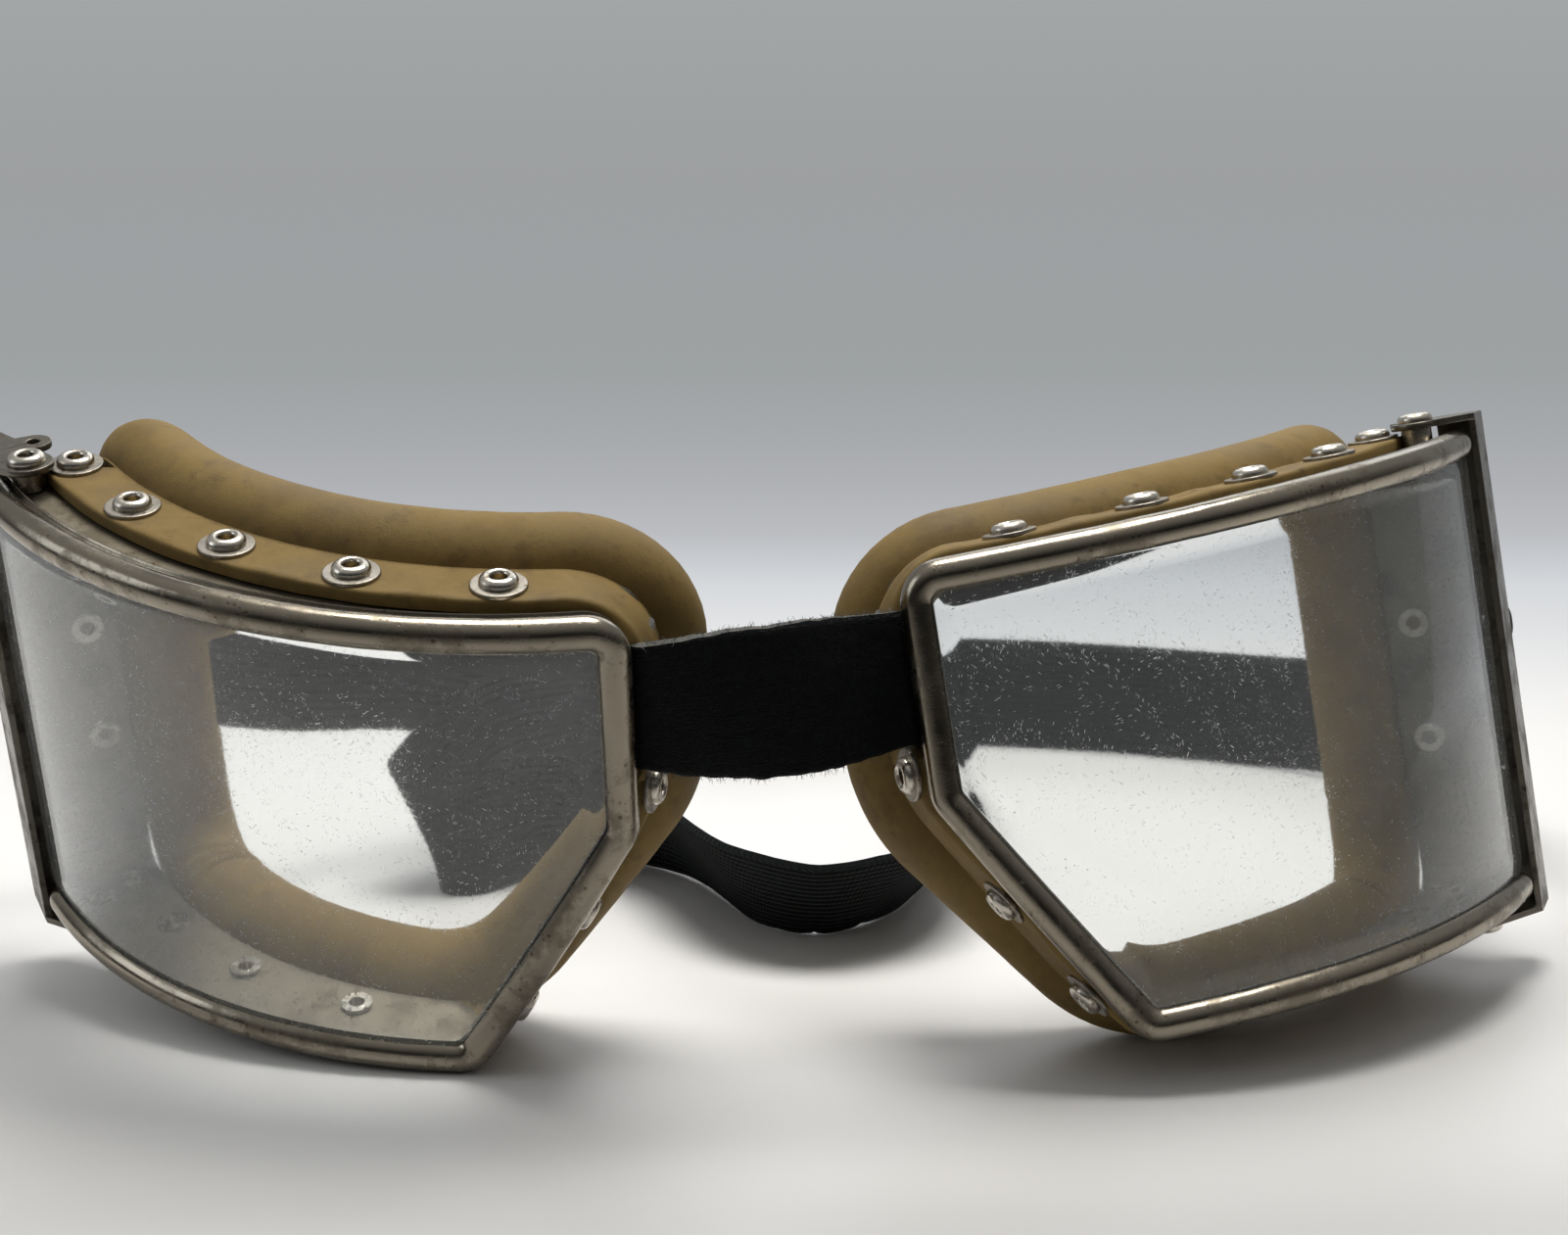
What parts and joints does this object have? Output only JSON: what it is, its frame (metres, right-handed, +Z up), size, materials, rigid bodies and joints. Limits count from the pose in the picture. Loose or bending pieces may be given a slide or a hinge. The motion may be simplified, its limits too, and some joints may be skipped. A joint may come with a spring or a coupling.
{
  "type": "aviator flying goggles",
  "caption": "Vintage flying goggles: bent clear lenses in rolled nickel frames, riveted tan rubber face cushions, a leather nose strap, hinged strap gates and a black elastic head strap.",
  "frame": {"origin": "under the middle of the whole, on the surface that it lies on", "axes": "+Z up, the lenses face -Y, +X to the right of a viewer who faces the lenses"},
  "size_m": [0.2052, 0.1576, 0.0704],
  "materials": {
    "nickel": "aged nickel plate, pitted and tarnished",
    "lens": "clear, dusty and finely scratched",
    "cushion_rubber": "matte aged tan rubber",
    "eyelet_nickel": "worn nickel, rusty in places",
    "washer_steel": "dull, tarnished",
    "gate_steel": "dark worn nickel",
    "elastic": "ribbed black webbing",
    "rivet_metal": "dull",
    "leather": "black, creased, raw at its edges"
  },
  "bodies": {
    "left_eyepiece": {"left_rim": "nickel", "left_side_wall": "nickel", "left_lens": "lens", "left_face_cushion": "cushion_rubber", "left_cushion_eyelets": "eyelet_nickel", "left_cushion_washers": "washer_steel", "left_gate_eyelets": "eyelet_nickel", "left_bridge_rivets": "rivet_metal", "nose_leather": "leather", "head_strap": "elastic", "strap_tail": "elastic"},
    "right_eyepiece": {"right_rim": "nickel", "right_side_wall": "nickel", "right_lens": "lens", "right_face_cushion": "cushion_rubber", "right_cushion_eyelets": "eyelet_nickel", "right_cushion_washers": "washer_steel", "right_gate_eyelets": "eyelet_nickel", "right_bridge_rivets": "rivet_metal"},
    "left_gate": {"left_strap_gate": "gate_steel", "left_strap_loop": "elastic"},
    "right_gate": {"right_strap_gate": "gate_steel", "right_strap_loop": "elastic"}
  },
  "joints": [
    {"name": "nose_fold", "type": "hinge", "parent": "left_eyepiece", "child": "right_eyepiece", "pos_m": [-0.00355, -0.06677, 0.04248], "axis": [0, 0, 1], "range_deg": [-60, 30], "deforming": ["nose_leather", "head_strap", "strap_tail"]},
    {"name": "left_gate_swing", "type": "hinge", "parent": "left_eyepiece", "child": "left_gate", "pos_m": [-0.08677, -0.04027, 0.03439], "axis": [-0.0134, -0.261, 0.9652], "range_deg": [0, 60], "deforming": ["head_strap"]},
    {"name": "right_gate_swing", "type": "hinge", "parent": "right_eyepiece", "child": "right_gate", "pos_m": [0.07902, -0.02966, 0.03536], "axis": [0.1575, -0.1378, -0.9779], "range_deg": [0, 60], "deforming": ["head_strap"]}
  ]
}
